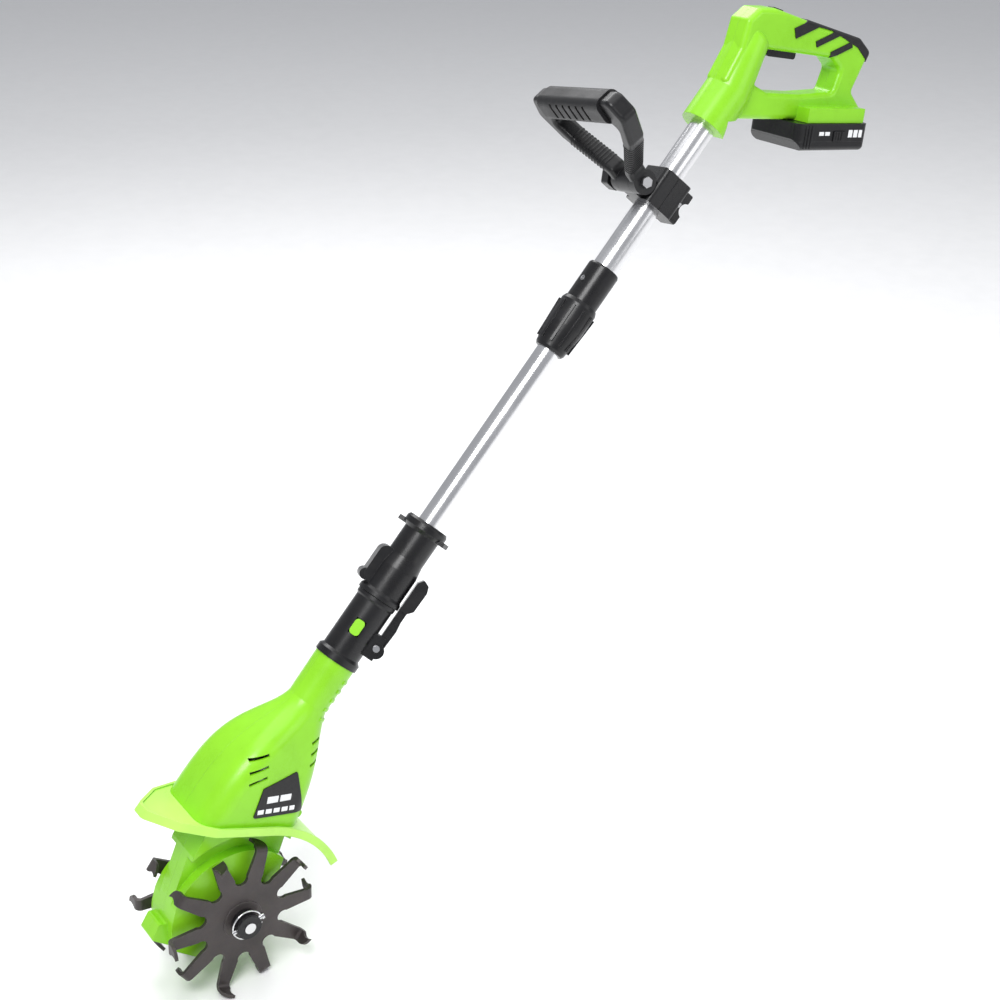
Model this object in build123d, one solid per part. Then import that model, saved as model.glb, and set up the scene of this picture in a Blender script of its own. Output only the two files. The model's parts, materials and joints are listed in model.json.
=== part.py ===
from build123d import *
import math
import os

# Battery mini cultivator. Everything is first modelled in the pole frame and then leaned back as in use.
# Pole frame, in millimetres: Z runs up the pole axis from the height of the tine axle, X points from the
# pole to the user, and -Y is the user's left. Frame of the row: the middle of the rear grip is the origin,
# Z is up, and the pole leans LEAN degrees from upright towards the user.

LEAN = 42.0
GRIP = (67.0, 1100.0)

# Tine discs, shaft and worm drive
AXLE_X = 62.0
DISC_Y = 37.5
DISC_T = 4.0
SPOKES = 10
VALLEY_R = 42.0
ELBOW_R = 80.0
SPOKE_ROOT = 10.5
SPOKE_TIP = 6.5
BLADE_REACH = 19.0
HUB_R = 13.4
SHAFT_R = 6.0
SHAFT_HALF = 57.0
PIN_Y = 49.5
PIN_TURN = 35.0
MODULE = 2.0
WHEEL_TEETH = 25
WHEEL_FACE = 10.0
WORM_PITCH_R = 8.0
WORM_TILT = 8.0
TOOTH_DEPTH = 3.7
TOOTH_THIN = 2.55
WORM_HALF = 20.0
RUNNING = 0.05
COUPLER_Z = (80.0, 91.0)

# Motor, along the tilted worm axis
MOTOR_R = 21.0
FAN_Z = (94.5, 98.5)
MOTOR_Z0 = 100.0
MOTOR_Z1 = 160.0

# Head housing: height, front, back, half width and corner radius of each section
WALL = 2.6
HEAD_SECTIONS = [
    (271.8, -22.5, 22.5, 22.5, 22.0),
    (222.0, -21.5, 22.0, 21.5, 20.5),
    (204.0, -27.0, 27.0, 26.0, 20.0),
    (172.0, -43.0, 37.0, 37.0, 20.0),
    (138.0, -54.0, 47.0, 43.0, 21.0),
    (100.0, -57.0, 57.0, 45.0, 22.0),
    (50.0, -55.0, 66.0, 43.0, 20.0),
]
LEG_PROFILE = [
    (-36.0, 100.0), (-26.0, 34.0), (-8.0, -18.0), (3.0, -42.0), (-4.0, -45.0), (-1.0, -63.0),
    (63.0, -58.0), (94.0, -22.0), (98.0, 6.0), (82.0, 50.0), (59.0, 114.0),
]
LEG_HALF = 24.5
HEAD_SCREWS = [(-42.0, 120.0), (43.0, 122.0), (8.0, 36.0), (14.0, -51.0)]
FIN_HALF = 13.5
SWEEP_R = (71.5, 91.5)

# Guard: a ramp that runs into an arc about the axle
GUARD_R = 106.0
GUARD_T = 4.0
GUARD_SLOPE = 22.5
GUARD_HALF = 51.0
GUARD_FRONT = 130.0
GUARD_END = 28.5
GUARD_PLAN = [
    (-40.0, -51.0), (-72.0, -36.0), (-97.0, -9.0), (-97.0, 9.0), (-72.0, 36.0), (-40.0, 51.0),
    (200.0, 51.0), (200.0, -51.0),
]
GUARD_LIP = 3.0
GUARD_SCREWS = [(-41.0, 29.0), (-41.0, -29.0), (46.0, 33.0), (46.0, -33.0)]

# Pole, telescopic lock and coupling
UPPER_R = 14.0
UPPER_BORE = 12.7
LOWER_R = 12.5
LOWER_BORE = 11.2
UPPER_Z = (706.0, 998.0)
LOWER_Z = (356.0, 800.0)
COLLAR_Z = (717.0, 760.0)
COLLAR_SCREW_Z = 738.0
NUT_Z = (657.0, 716.5)
SOCKET_Z = (348.5, 440.0)
SLEEVE_Z = (279.0, 348.0)
LATCH_X = 27.5
LATCH_Z = 305.0
LATCH_TURN = -38.0
DETENT_Z = 313.0
DETENT_TURN = -42.0

# Front loop handle
LOOP_PIVOT = (-31.0, 850.0)
CLAMP_Z = (838.0, 878.0)
LOOP_TILT = 12.0
CLAMP_TURN = 13.0
LOOP_OUTER = [(0, 24.3), (-15, 25), (-58, 72), (-90, 90), (-112, 81)]
LOOP_INNER = [(0, 12.3), (-19, 13), (-56, 52), (-78, 67), (-87, 60)]
LOOP_BAR_X = -99.5

# Rear handle and battery pack
COLLAR_R = 25.0
HANDLE_Z0 = 941.0
BAR_HALF = 16.0
HANDLE_PROFILE = [
    (-24.0, 985.0), (-30.0, 1022.0), (-43.0, 1048.0), (-38.0, 1066.0), (-20.0, 1080.0), (31.0, 1103.0),
    (103.0, 1137.0), (125.0, 1137.0), (136.0, 1092.0), (168.0, 1088.0), (160.0, 1072.0), (87.0, 1018.0),
    (24.0, 972.0),
]
HOLE_PROFILE = [
    (-1.0, 1029.0), (14.0, 1009.0), (36.0, 1015.0), (76.0, 1043.0), (112.0, 1073.0), (103.0, 1096.0),
    (84.0, 1097.0), (-1.0, 1042.9),
]
HANDLE_SCREWS = [(-28.0, 1054.0), (86.0, 1108.0), (124.0, 1104.0), (60.0, 1018.0)]
PACK_ANGLE = 36.5
PACK_TOP = (124.0, 1045.0)
PACK_L = 110.0
PACK_NOSE = -5.0
PACK_W = 74.0
PACK_H = 29.0
PACK_SPLIT = 19.0
RAIL_W = 44.0
RAIL_H = 9.0

WORLD = Rot(0, LEAN, 0) * Pos(-GRIP[0], 0, -GRIP[1])
AXLE = Pos(AXLE_X, 0, 0)
CENTRES = MODULE * WHEEL_TEETH / 2 + WORM_PITCH_R
WORM = AXLE * Rot(0, -WORM_TILT, 0) * Pos(-CENTRES, 0, 0)
PACK = Pos(PACK_TOP[0], 0, PACK_TOP[1]) * Rot(0, -PACK_ANGLE, 0)
LOOP = Pos(LOOP_PIVOT[0], 0, LOOP_PIVOT[1]) * Rot(0, LOOP_TILT, 0)
CLAMP = Rot(0, 0, -CLAMP_TURN)
TRIGGER = Pos(25, 0, 1059.4) * Rot(0, -32.5, 0)
LOCK_OFF = Pos(-9, 0, 1084.4) * Rot(0, -24.9, 0)
LATCH = Rot(0, 0, LATCH_TURN)
LATCH_ROOM = LATCH * Pos(LATCH_X + 3, 0, 350) * Box(11, 13, 80)
LEFT, RIGHT = -1, 1


def save(name, *shapes):
    solids = [solid for shape in shapes for solid in (WORLD * shape).solids()]
    export_step(solids[0] if len(solids) == 1 else Compound(solids), f"parts/{name}.step")


def side_face(points, radius=0.0):
    """A face in the symmetry plane, with its corners rounded."""
    face = Plane.XZ * make_face(Polyline(*points, close=True))
    return fillet(face.vertices(), radius) if radius else face


def slab(face, half):
    """The face made half mm thick to each side of the symmetry plane."""
    return extrude(face, half, both=True)


def half_space(side):
    return Pos(0, side * 500, 500) * Box(1200, 1000, 2400)


def ring(outer, inner, z0, z1):
    return Pos(0, 0, (z0 + z1) / 2) * (Cylinder(outer, z1 - z0) - Cylinder(inner, z1 - z0))


def rod(radius, z0, z1):
    return Pos(0, 0, (z0 + z1) / 2) * Cylinder(radius, z1 - z0)


def cross_rod(radius, x, y0, y1, z):
    """A cylinder along Y."""
    return Pos(x, (y0 + y1) / 2, z) * Rot(90, 0, 0) * Cylinder(radius, y1 - y0)


def cross_ring(outer, inner, x, y0, y1, z):
    return cross_rod(outer, x, y0, y1, z) - cross_rod(inner, x, y0 - 1, y1 + 1, z)


def revolved(points, bore):
    """A turned piece about Z from (radius, height) points, with a bore."""
    turned = revolve(Plane.XZ * make_face(Polyline(*points, close=True)), Axis.Z)
    heights = [z for r, z in points]
    return turned - rod(bore, min(heights) - 1, max(heights) + 1)


def coil_spring(radius, wire, length, turns):
    """A compression spring about Z, standing on z = 0."""
    path = Helix(pitch=(length - 2 * wire) / turns, height=length - 2 * wire, radius=radius)
    start = Plane(origin=path @ 0, z_dir=path % 0)
    return Pos(0, 0, wire) * sweep(start * Circle(wire), path=path, is_frenet=True)


def cross_screw(x, y0, y1, z, radius=1.9, head=3.6):
    """A pan head screw along Y with its head at y1."""
    step = math.copysign(2.4, y1 - y0)
    screw = cross_rod(radius, x, min(y0, y1), max(y0, y1), z)
    screw += cross_rod(head, x, min(y1 - step, y1), max(y1 - step, y1), z)
    slot = Pos(x, y1, z) * Box(0.9, 2.0, 4.4) + Pos(x, y1, z) * Box(4.4, 2.0, 0.9)
    return screw - slot


# ---------------------------------------------------------------- tine discs and shaft

def spoke_point(index, radius, across):
    turn = math.radians(360 / SPOKES * index)
    return (
        radius * math.cos(turn) - across * math.sin(turn),
        radius * math.sin(turn) + across * math.cos(turn),
    )


def disc_plate():
    edges = []
    for k in range(SPOKES):
        base = VALLEY_R + 8
        corners = [
            spoke_point(k, base, -SPOKE_ROOT / 1.2),
            spoke_point(k, ELBOW_R - 4, -SPOKE_TIP),
            spoke_point(k, ELBOW_R - 4, SPOKE_TIP),
            spoke_point(k, base, SPOKE_ROOT / 1.2),
        ]
        edges += [Line(a, b) for a, b in zip(corners, corners[1:])]
        valley = spoke_point(k + 0.5, VALLEY_R, 0)
        edges.append(ThreePointArc(corners[3], valley, spoke_point(k + 1, base, -SPOKE_ROOT / 1.2)))
    return extrude(make_face(edges), DISC_T / 2, both=True)


def blade(index, way):
    """The bent end of a spoke: a quarter bend and a hooked claw that reaches sideways."""
    bend = 5.0
    start = ELBOW_R - 4
    strip = make_face([
        Line((start - 1, -DISC_T / 2), (start, -DISC_T / 2)),
        ThreePointArc(
            (start, -DISC_T / 2),
            (start + bend * math.sin(math.pi / 4) + 1.2, -DISC_T / 2 + bend * 0.42),
            (start + bend + 1.5, bend),
        ),
        Line((start + bend + 1.5, bend), (start + bend + 1.5, BLADE_REACH)),
        Line((start + bend + 1.5, BLADE_REACH), (start + bend - 2, BLADE_REACH)),
        Line((start + bend - 2, BLADE_REACH), (start + bend - 2, bend)),
        ThreePointArc((start + bend - 2, bend), (start + 1.6, DISC_T / 2 + 0.6), (start, DISC_T / 2)),
        Line((start, DISC_T / 2), (start - 1, DISC_T / 2)),
        Line((start - 1, DISC_T / 2), (start - 1, -DISC_T / 2)),
    ])
    plate = extrude(Plane.XZ * strip, SPOKE_TIP, both=True)
    claw = Plane.YZ * make_face([
        Line((-SPOKE_TIP, -4), (SPOKE_TIP, -4)),
        Line((SPOKE_TIP, -4), (SPOKE_TIP, bend + 1)),
        Spline((SPOKE_TIP, bend + 1), (SPOKE_TIP - 3, bend + 7), (SPOKE_TIP - 1, BLADE_REACH)),
        Spline((SPOKE_TIP - 1, BLADE_REACH), (-SPOKE_TIP + 1.5, bend + 8), (-SPOKE_TIP, bend)),
        Line((-SPOKE_TIP, bend), (-SPOKE_TIP, -4)),
    ])
    hook = plate & extrude(claw, ELBOW_R + 20)
    if way < 0:
        hook = mirror(hook, Plane.XY)
    return Rot(0, 0, 360 / SPOKES * index) * hook


def tine_disc(side, phase):
    disc = disc_plate()
    for k in range(SPOKES):
        outward = side if k % 2 == 0 else -side
        disc += blade(k, -outward)
    disc += Cylinder(HUB_R + 8, DISC_T + 2.4)
    disc -= Cylinder(HUB_R, 30)
    return AXLE * Pos(0, side * DISC_Y, 0) * Rot(90, 0, 0) * Rot(0, 0, phase) * disc


def hub(side):
    """The plastic hub between disc and shaft, with a collar behind the disc and the hole of the lock pin."""
    inner = DISC_Y - DISC_T / 2 - 1.2
    body = cross_rod(HUB_R, 0, inner - 4, SHAFT_HALF - 1.5, 0)
    body += cross_rod(HUB_R + 5, 0, inner - 4, inner, 0)
    body -= cross_rod(SHAFT_R, 0, 0, 80, 0)
    body -= Pos(0, PIN_Y, 0) * Rot(0, PIN_TURN, 0) * Cylinder(2.6, 60)
    body = AXLE * body
    return body if side == RIGHT else mirror(body, Plane.XZ)


def lock_pin(side):
    """A cross pin with the round wire loop that snaps over the hub."""
    ring_r = HUB_R + 2.6
    pin = Cylinder(2.4, 2 * ring_r + 3) + Pos(0, 0, ring_r + 1.5) * Cylinder(3.4, 3)
    loop = Rot(90, 0, 0) * Rot(0, 0, 100) * Torus(ring_r, 1.1, major_angle=330)
    part = AXLE * Pos(0, side * PIN_Y, 0) * Rot(0, PIN_TURN, 0) * (pin + loop)
    return part


def output_shaft():
    shaft = cross_rod(SHAFT_R, AXLE_X, -SHAFT_HALF, SHAFT_HALF, 0)
    for side in (LEFT, RIGHT):
        hole = AXLE * Pos(0, side * PIN_Y, 0) * Rot(0, PIN_TURN, 0) * Cylinder(2.5, 60)
        shaft -= hole
    return shaft


def worm_wheel():
    pitch_r = MODULE * WHEEL_TEETH / 2
    tip = pitch_r + TOOTH_DEPTH / 2 - 0.25
    root = pitch_r - TOOTH_DEPTH / 2 - 0.2
    flank = math.tan(math.radians(20)) * TOOTH_DEPTH / 2
    pieces = []
    for k in range(WHEEL_TEETH):
        turn = 360 / WHEEL_TEETH * k
        tooth = make_face(Polyline(
            (root - 1, -TOOTH_THIN / 2 - flank * 1.3), (tip, -TOOTH_THIN / 2 + flank),
            (tip, TOOTH_THIN / 2 - flank), (root - 1, TOOTH_THIN / 2 + flank * 1.3), close=True,
        ))
        pieces.append(Rot(0, 0, turn) * tooth)
    outline = Circle(root)
    for tooth in pieces:
        outline += tooth
    twist = math.degrees(WHEEL_FACE * MODULE / 2 / WORM_PITCH_R / pitch_r)
    gear = Solid.extrude_linear_with_rotation(outline.face(), (0, 0, 0), (0, 0, WHEEL_FACE), twist)
    gear = Rot(0, 0, -twist / 2) * Pos(0, 0, -WHEEL_FACE / 2) * gear
    gear = gear - Cylinder(SHAFT_R, 40) - ring(16, 9.5, 3, 9) - ring(16, 9.5, -9, -3)
    return AXLE * Rot(0, -WORM_TILT, 0) * Rot(90, 0, 0) * gear


def worm():
    """One continuous thread, made by twisting its section, with a journal at each end."""
    lead = math.pi * MODULE
    root = WORM_PITCH_R - TOOTH_DEPTH / 2 - 0.2
    tip = WORM_PITCH_R + TOOTH_DEPTH / 2 - 0.25
    crest = TOOTH_THIN / 2 - math.tan(math.radians(20)) * (tip - WORM_PITCH_R)
    foot = crest + math.tan(math.radians(20)) * (tip - root)

    def at(radius, along):
        turn = along / lead * 2 * math.pi
        return (radius * math.cos(turn), radius * math.sin(turn))

    steps = 5
    rise = [at(tip + (root - tip) * k / steps, crest + (foot - crest) * k / steps) for k in range(steps + 1)]
    fall = [(x, -y) for x, y in reversed(rise)]
    section = make_face([
        ThreePointArc(at(tip, -crest), at(tip, 0), at(tip, crest)),
        Spline(*rise),
        ThreePointArc(at(root, foot), at(root, lead / 2), at(root, -foot)),
        Spline(*fall),
    ])
    turns = 2 * WORM_HALF / lead
    start = -360 * turns / 2
    thread = Solid.extrude_linear_with_rotation(section.face(), (0, 0, 0), (0, 0, 2 * WORM_HALF), 360 * turns)
    thread = Rot(0, 0, start) * Pos(0, 0, -WORM_HALF) * thread
    return WORM * (thread + rod(4, -33, -WORM_HALF) + rod(4, WORM_HALF, COUPLER_Z[0] + 5))


def worm_bearings():
    return [WORM * ring(9.5, 4 + RUNNING, z, z + 7) for z in (-32, 26)]


def shaft_bearings():
    return [cross_ring(13, SHAFT_R + RUNNING, AXLE_X, y, y + 7, 0) for y in (-19.5, 12.5)]


def shaft_seals():
    return [cross_ring(11.5, SHAFT_R + RUNNING, AXLE_X, y, y + 4, 0) for y in (-25.5, 21.5)]


# ---------------------------------------------------------------- motor

def motor_can():
    can = ring(MOTOR_R, MOTOR_R - 1.8, MOTOR_Z0, MOTOR_Z1)
    can += ring(MOTOR_R, 6.2, MOTOR_Z0, MOTOR_Z0 + 2.5)
    return WORM * can


def motor_end_cap():
    cap = ring(MOTOR_R, 4.2, MOTOR_Z1, MOTOR_Z1 + 4) + ring(8, 4.2, MOTOR_Z1 + 4, MOTOR_Z1 + 9)
    return WORM * cap


def motor_magnets():
    shell = ring(MOTOR_R - 1.9, MOTOR_R - 5.4, MOTOR_Z0 + 8, MOTOR_Z1 - 14)
    return [WORM * part for part in (shell - Box(9, 90, 400)).solids()]


def motor_brushes():
    return [WORM * Pos(side * 10.5, 0, MOTOR_Z1 - 6) * Box(8, 6, 6) for side in (LEFT, RIGHT)]


def armature():
    core = rod(14.8, MOTOR_Z0 + 10, MOTOR_Z1 - 18)
    for k in range(8):
        core -= Rot(0, 0, 45 * k) * Pos(13.5, 0, (MOTOR_Z0 + MOTOR_Z1) / 2) * Box(6, 2.2, 80)
    core += rod(4, COUPLER_Z[0] + 5.2, MOTOR_Z1 + 8.5)
    core += rod(6.2, MOTOR_Z1 - 12, MOTOR_Z1 - 1)
    return WORM * core


def fan():
    wheel = ring(6.5, 4, FAN_Z[0], FAN_Z[1])
    for k in range(9):
        wheel += Rot(0, 0, 40 * k) * Pos(11, 0, (FAN_Z[0] + FAN_Z[1]) / 2) * Rot(25, 0, 0) * Box(11, 1.2, 3.6)
    return WORM * wheel


def drive_coupler():
    """The steel sleeve that joins the worm's journal to the armature shaft."""
    return WORM * ring(5.8, 4, *COUPLER_Z)


# ---------------------------------------------------------------- head housing

def section_wire(z, front, back, half, radius, inset=0.0):
    width = back - front - 2 * inset
    rounded = RectangleRounded(width, 2 * half - 2 * inset, max(radius - inset, 3))
    return Pos((front + back) / 2, 0, z) * rounded


def head_core(inset):
    faces = [section_wire(*row, inset=inset).face() for row in HEAD_SECTIONS]
    neck = loft(faces[:2])
    body = loft(faces[1:])
    return neck + body


def guard_curve(radius, front, end):
    """The guard's side line as a face edge list from the front tip to the rear tip."""
    slope = math.radians(GUARD_SLOPE)
    tangent = (AXLE_X - radius * math.sin(slope), radius * math.cos(slope))
    tip = (tangent[0] - front * math.cos(slope), tangent[1] - front * math.sin(slope))
    rear = math.radians(end)
    middle = (rear - slope) / 2
    over = (AXLE_X + radius * math.sin(middle), radius * math.cos(middle))
    last = (AXLE_X + radius * math.sin(rear), radius * math.cos(rear))
    return tip, tangent, over, last


def guard_profile(grow_out=0.0, grow_in=0.0, front=GUARD_FRONT, end=GUARD_END):
    low = guard_curve(GUARD_R - grow_in, front, end)
    high = guard_curve(GUARD_R + GUARD_T + grow_out, front, end)
    return Plane.XZ * make_face([
        Line(low[0], low[1]),
        ThreePointArc(low[1], low[2], low[3]),
        Line(low[3], high[3]),
        ThreePointArc(high[3], high[2], high[1]),
        Line(high[1], high[0]),
        Line(high[0], low[0]),
    ])


def below_guard():
    """All the space under the guard's top face."""
    high = guard_curve(GUARD_R + GUARD_T, 220, 75)
    return slab(Plane.XZ * make_face([
        Line((high[0][0], -200), high[0]),
        Line(high[0], high[1]),
        ThreePointArc(high[1], high[2], high[3]),
        Line(high[3], (high[3][0], -200)),
        Line((high[3][0], -200), (high[0][0], -200)),
    ]), 80)


def sweep_ring(r0, r1, y0):
    ring_side = cross_ring(r1, r0, AXLE_X, y0, 60, 0)
    return ring_side + mirror(ring_side, Plane.XZ)


def leg(inset):
    face = side_face(LEG_PROFILE, 2.4)
    if inset:
        face = offset(face, -inset)
    body = slab(face, LEG_HALF - inset)
    return body - sweep_ring(SWEEP_R[0] - inset, SWEEP_R[1] + inset, FIN_HALF - inset)


def bearing_boss():
    return cross_rod(17, AXLE_X, -30, 30, 0)


def vent(x, z, length):
    return Pos(x, 0, z) * Rot(0, -45, 0) * Box(length, 120, 3.2)


def vents():
    cuts = [vent(-40 + 5.5 * k, 155 - 10 * k, 21) for k in range(3)]
    cuts += [vent(16 + 4.5 * k, 194 - 10 * k, 11) for k in range(3)]
    return cuts


def head_shell(side):
    outer = (head_core(0) - below_guard()) + leg(0) + bearing_boss()
    inner = (head_core(WALL) - Pos(0, 0, WALL) * below_guard()) + leg(WALL)
    inner += Pos(6, 0, 106) * Box(74, 2 * (LEG_HALF - WALL), 20)
    shell = outer - inner - rod(18.3, 262, 300)
    shell -= cross_rod(11.6, AXLE_X, -40, 40, 0)
    for cut in vents():
        shell -= cut
    for x, z in HEAD_SCREWS:
        shell += cross_rod(4.6, x, -post_half(x, z), post_half(x, z), z)
    for x, z in HEAD_SCREWS:
        shell -= cross_rod(2.1, x, -post_half(x, z) + 3, 60, z)
        shell -= cross_rod(4.0, x, post_half(x, z) - 5.1, 60, z)
    for x, y in GUARD_SCREWS:
        shell -= Pos(x, y, 0) * rod(1.95, 40, 125)
    return max((shell & half_space(side)).solids(), key=lambda solid: solid.volume)


def post_half(x, z):
    """How far a screw post reaches from the symmetry plane."""
    return FIN_HALF - 0.5 if z < 0 else (LEG_HALF - 0.5 if z < 60 else 38.0)


def head_screws():
    return [cross_screw(x, -post_half(x, z) + 4, post_half(x, z) - 2.6, z) for x, z in HEAD_SCREWS]


def guard():
    """A plate with a pointed front and a lip all round, open where the leg passes."""
    plan = fillet(make_face(Polyline(*GUARD_PLAN, close=True)).vertices(), 9)
    plate = slab(guard_profile(), GUARD_HALF) & extrude(plan, 200)
    rim = slab(guard_profile(grow_out=1.6, grow_in=GUARD_LIP), GUARD_HALF) & extrude(plan - offset(plan, -3), 200)
    plate += rim
    plate -= slab(offset(side_face(LEG_PROFILE, 2.4), 0.3), LEG_HALF + 0.3)
    for x, y in GUARD_SCREWS:
        plate -= Pos(x, y, 0) * rod(1.95, 40, 125)
        plate -= Pos(x, y, 0) * rod(4.0, 40, guard_height(x) - 1.95)
    return plate


def guard_height(x):
    """Height of the guard's under side at x."""
    low = guard_curve(GUARD_R, GUARD_FRONT, GUARD_END)
    if x > low[1][0]:
        return math.sqrt(GUARD_R ** 2 - (x - AXLE_X) ** 2)
    return low[1][1] - (low[1][0] - x) * math.tan(math.radians(GUARD_SLOPE))


def guard_screws():
    screws = []
    for x, y in GUARD_SCREWS:
        z = guard_height(x)
        screws.append(Pos(x, y, 0) * (rod(1.9, z - 2, z + 13) + rod(3.8, z - 4.6, z - 2)))
    return screws


def badge():
    """A plain trim plate that follows the left side of the housing."""
    outline = side_face([(8.0, 161.0), (41.0, 128.0), (-10.0, 100.0), (-19.0, 131.0)], 2)
    skin = (head_core(-1.2) - head_core(0)) & Pos(0, -45, 0) * slab(outline, 30)
    return max(skin.solids(), key=lambda solid: solid.volume)


def gear_housing(side):
    """Half of the alloy case that carries the worm and the output shaft."""
    body = cross_rod(31.5, AXLE_X, -20.4, 20.4, 0) + WORM * rod(13.5, -35, 36)
    body -= cross_rod(27.6, AXLE_X, -9.6, 9.6, 0) + cross_rod(13, AXLE_X, -19.5, 19.5, 0)
    body -= cross_rod(SHAFT_R + 0.6, AXLE_X, -30, 30, 0)
    body -= WORM * rod(10.4, -25, 26) + WORM * rod(9.5, -32, 33) + WORM * rod(4.8, -40, 40)
    for x, z in HEAD_SCREWS:
        body -= cross_rod(5.2, x, -60, 60, z)
    body = body & leg(WALL + 0.3)
    return max((body & half_space(side)).solids(), key=lambda solid: solid.volume)


def motor_bracket():
    """The plate across the housing that holds the motor."""
    plate = WORM * rod(70, MOTOR_Z1 - 14, MOTOR_Z1 - 10) & head_core(WALL + 0.2)
    plate -= WORM * rod(MOTOR_R, 50, 200)
    for x, z in HEAD_SCREWS:
        plate -= cross_rod(5, x, -60, 60, z)
    return plate


# ---------------------------------------------------------------- pole and telescopic lock

def collar_screw_hole():
    return Rot(0, 0, 90) * (cross_rod(1.55, 0, 10, 20, COLLAR_SCREW_Z) + cross_rod(2.9, 0, 15.9, 20, COLLAR_SCREW_Z))


def upper_tube():
    return ring(UPPER_R, UPPER_BORE, *UPPER_Z) - collar_screw_hole()


def pole_collar():
    low, high = COLLAR_Z
    collar = revolved([(0, low), (17.6, low), (17.6, high - 2), (16.6, high), (0, high)], UPPER_R)
    return collar + ring(17.6, 16.2, 700, low) - collar_screw_hole()


def lock_collet():
    """The slotted ring that the lock nut squeezes onto the lower tube."""
    collet = ring(15.4, LOWER_R + 0.05, 662, 705)
    for k in range(4):
        collet -= Rot(0, 0, 90 * k + 45) * Pos(14, 0, 676) * Box(8, 2, 36)
    return collet


def lock_nut():
    nut = revolved([
        (0, NUT_Z[0]), (15.2, NUT_Z[0]), (17.0, NUT_Z[0] + 3), (20.4, NUT_Z[0] + 30), (20.4, NUT_Z[1] - 4),
        (18.8, NUT_Z[1]), (0, NUT_Z[1]),
    ], LOWER_R + 0.1)
    for k in range(10):
        nut += Rot(0, 0, 36 * k) * Pos(19.4, 0, NUT_Z[0] + 30) * Rot(0, 3, 0) * Box(3.4, 3, 44)
    nut -= rod(15.7, 661.5, 699.5)
    nut -= rod(17.9, 699.5, NUT_Z[1] + 1)
    return nut


def collar_screw():
    return Rot(0, 0, 90) * cross_screw(0, 13.0, 18.4, COLLAR_SCREW_Z, radius=1.5, head=2.8)


def coiled_lead():
    return rod(5.0, 801, 990)


def lower_lead():
    return rod(2.6, 356.4, 800.6)


def coupling_socket():
    low, high = SOCKET_Z
    socket = revolved([
        (0, low), (24.0, low), (24.0, 353), (22.2, 356), (22.2, 384), (20.0, 398), (20.0, 427), (24.0, 431),
        (24.0, high - 3), (22.0, high), (0, high),
    ], LOWER_R)
    for turn in (125, 300):
        socket += Rot(0, 0, turn) * Pos(23, 0, 430) * Box(12, 15, 5)
    hump = fillet((Pos(20, 0, 378) * Box(18, 22, 42)).edges().filter_by(Axis.Y), 8)
    socket += Rot(0, 0, 150) * hump
    socket += Rot(0, 0, 150) * Pos(27, 0, 362) * Rot(90, 0, 0) * Cylinder(6, 20)
    socket += ring(15.0, LOWER_BORE, 306, 356)
    socket -= rod(LOWER_R, 356, 460)
    socket -= LATCH_ROOM
    socket -= Rot(0, 0, DETENT_TURN) * Pos(0, -14, DETENT_Z) * Box(12.4, 12, 18.4)
    return socket


def lead_plug():
    return [rod(9.5, 308, 330) - rod(2.6, 300, 340), ring(11.15, 9.5, 312, 322)]


def coupling_sleeve():
    low, high = SLEEVE_Z
    sleeve = revolved([
        (0, low - 7), (24.2, low - 7), (24.2, low), (21.0, low + 3), (21.0, high - 6), (22.5, high - 4),
        (22.5, high), (0, high),
    ], 15.3)
    sleeve -= rod(18.35, low - 8, low + 22)
    cheeks = Pos(24, 0, LATCH_Z) * Box(14, 20, 26) + cross_rod(8.5, LATCH_X + 1, -10, 10, LATCH_Z - 2)
    sleeve += LATCH * (cheeks - rod(20, 250, 360))
    sleeve -= LATCH * Pos(LATCH_X + 3, 0, LATCH_Z + 20) * Box(18.4, 12.6, 60)
    sleeve -= LATCH * cross_rod(2.1, LATCH_X, -20, 20, LATCH_Z)
    sleeve -= Rot(0, 0, DETENT_TURN) * Pos(0, -20, DETENT_Z) * Box(11.6, 20, 17.6)
    return sleeve


def detent_button():
    cap = Pos(0, -19, DETENT_Z) * Box(11, 7.4, 17)
    cap = fillet(cap.edges().filter_by(Axis.Y), 4)
    return Rot(0, 0, DETENT_TURN) * cap


def latch_lever():
    arm = side_face([(24.6, 316), (24.6, 378), (33.5, 378), (33.5, 340), (35, 330), (34, 306),
                     (31, 298.5), (25, 298.5), (21.9, 303), (21.9, 312)], 1.2)
    pad = side_face([(24.6, 351), (24.6, 384), (29, 390), (36, 387), (38.5, 380), (38, 357), (33, 351)], 2)
    lever = slab(arm, 5.9) + slab(pad, 10)
    return LATCH * (lever - cross_rod(2.1, LATCH_X, -20, 20, LATCH_Z))


def latch_pin():
    pin = cross_rod(2.0, LATCH_X, -10.5, 10.5, LATCH_Z)
    heads = cross_rod(3.6, LATCH_X, -12.5, -10.2, LATCH_Z) + cross_rod(3.6, LATCH_X, 10.2, 12.5, LATCH_Z)
    return LATCH * (pin + heads)


def neck_insert():
    """The socket half of the plug, held in the housing's neck."""
    return ring(18.2, 11.5, 262.5, 300.5) - rod(14.9, 296, 310)


# ---------------------------------------------------------------- front loop handle

def clamp_block():
    body = Pos(1, 0, (CLAMP_Z[0] + CLAMP_Z[1]) / 2) * Box(38, 46, CLAMP_Z[1] - CLAMP_Z[0])
    body = fillet(body.edges().filter_by(Axis.Z), 6)
    return body - rod(UPPER_R + 0.08, 800, 900)


def clamp_front():
    front = clamp_block() & Pos(-50.3, 0, 858) * Box(100, 200, 200)
    lug = cross_rod(13, LOOP_PIVOT[0], -12, 12, LOOP_PIVOT[1]) + Pos(-22, 0, 850) * Box(18, 24, 24)
    front += lug - rod(UPPER_R + 0.08, 800, 900)
    for y in (-18.7, 18.7):
        front -= Pos(-10, y, 858) * Rot(0, 90, 0) * Cylinder(2.0, 22)
    return front - cross_rod(3.1, LOOP_PIVOT[0], -40, 40, LOOP_PIVOT[1])


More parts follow.
